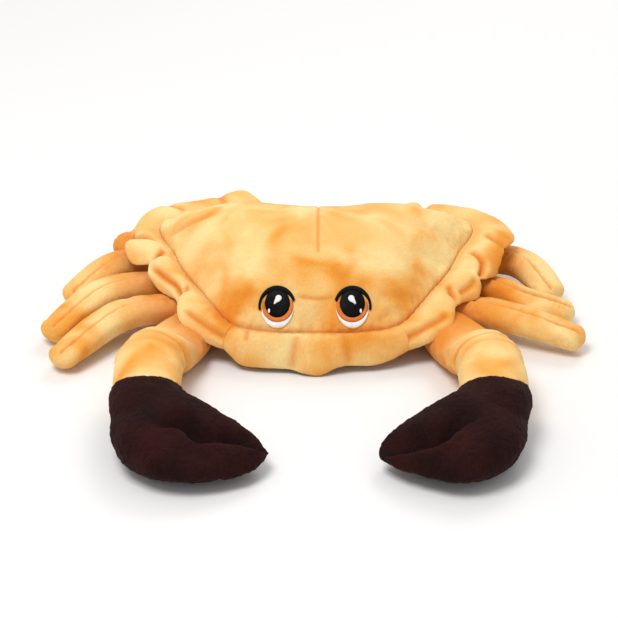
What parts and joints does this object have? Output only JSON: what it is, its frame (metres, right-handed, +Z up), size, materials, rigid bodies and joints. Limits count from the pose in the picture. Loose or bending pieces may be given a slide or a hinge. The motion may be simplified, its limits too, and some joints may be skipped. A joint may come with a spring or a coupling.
{
  "type": "plush crab toy",
  "caption": "Stuffed plush crab with a wavy sewn shell rim, legs, two arms with dark claws and embroidered eyes; lies flat on its belly.",
  "frame": {"origin": "middle of the flat belly, on the surface the toy lies on", "axes": "+Z up; the face and claws look along -Y; +X across the legs"},
  "size_m": [0.3574, 0.3414, 0.07],
  "materials": {
    "plush_yellow": "matte",
    "plush_brown": "matte",
    "thread_black": "satin",
    "thread_orange": "satin",
    "thread_white": "satin"
  },
  "bodies": {
    "root": {"body": "plush_yellow", "rim_front": "plush_yellow", "rim_left": "plush_yellow", "rim_right": "plush_yellow", "leg_left_1": "plush_yellow", "leg_left_2": "plush_yellow", "leg_left_3": "plush_yellow", "leg_left_4": "plush_yellow", "leg_right_1": "plush_yellow", "leg_right_2": "plush_yellow", "leg_right_3": "plush_yellow", "leg_right_4": "plush_yellow", "upper_arm_left": "plush_yellow", "upper_arm_right": "plush_yellow", "forearm_left": "plush_yellow", "forearm_right": "plush_yellow", "claw_left": "plush_brown", "claw_right": "plush_brown", "eye_white_left": "thread_white", "eye_iris_left": "thread_orange", "eye_pupil_left": "thread_black", "eye_lash_left": "thread_black", "eye_glint_left": "thread_white", "eye_dot_left": "thread_white", "eye_white_right": "thread_white", "eye_iris_right": "thread_orange", "eye_pupil_right": "thread_black", "eye_lash_right": "thread_black", "eye_glint_right": "thread_white", "eye_dot_right": "thread_white"}
  },
  "joints": []
}
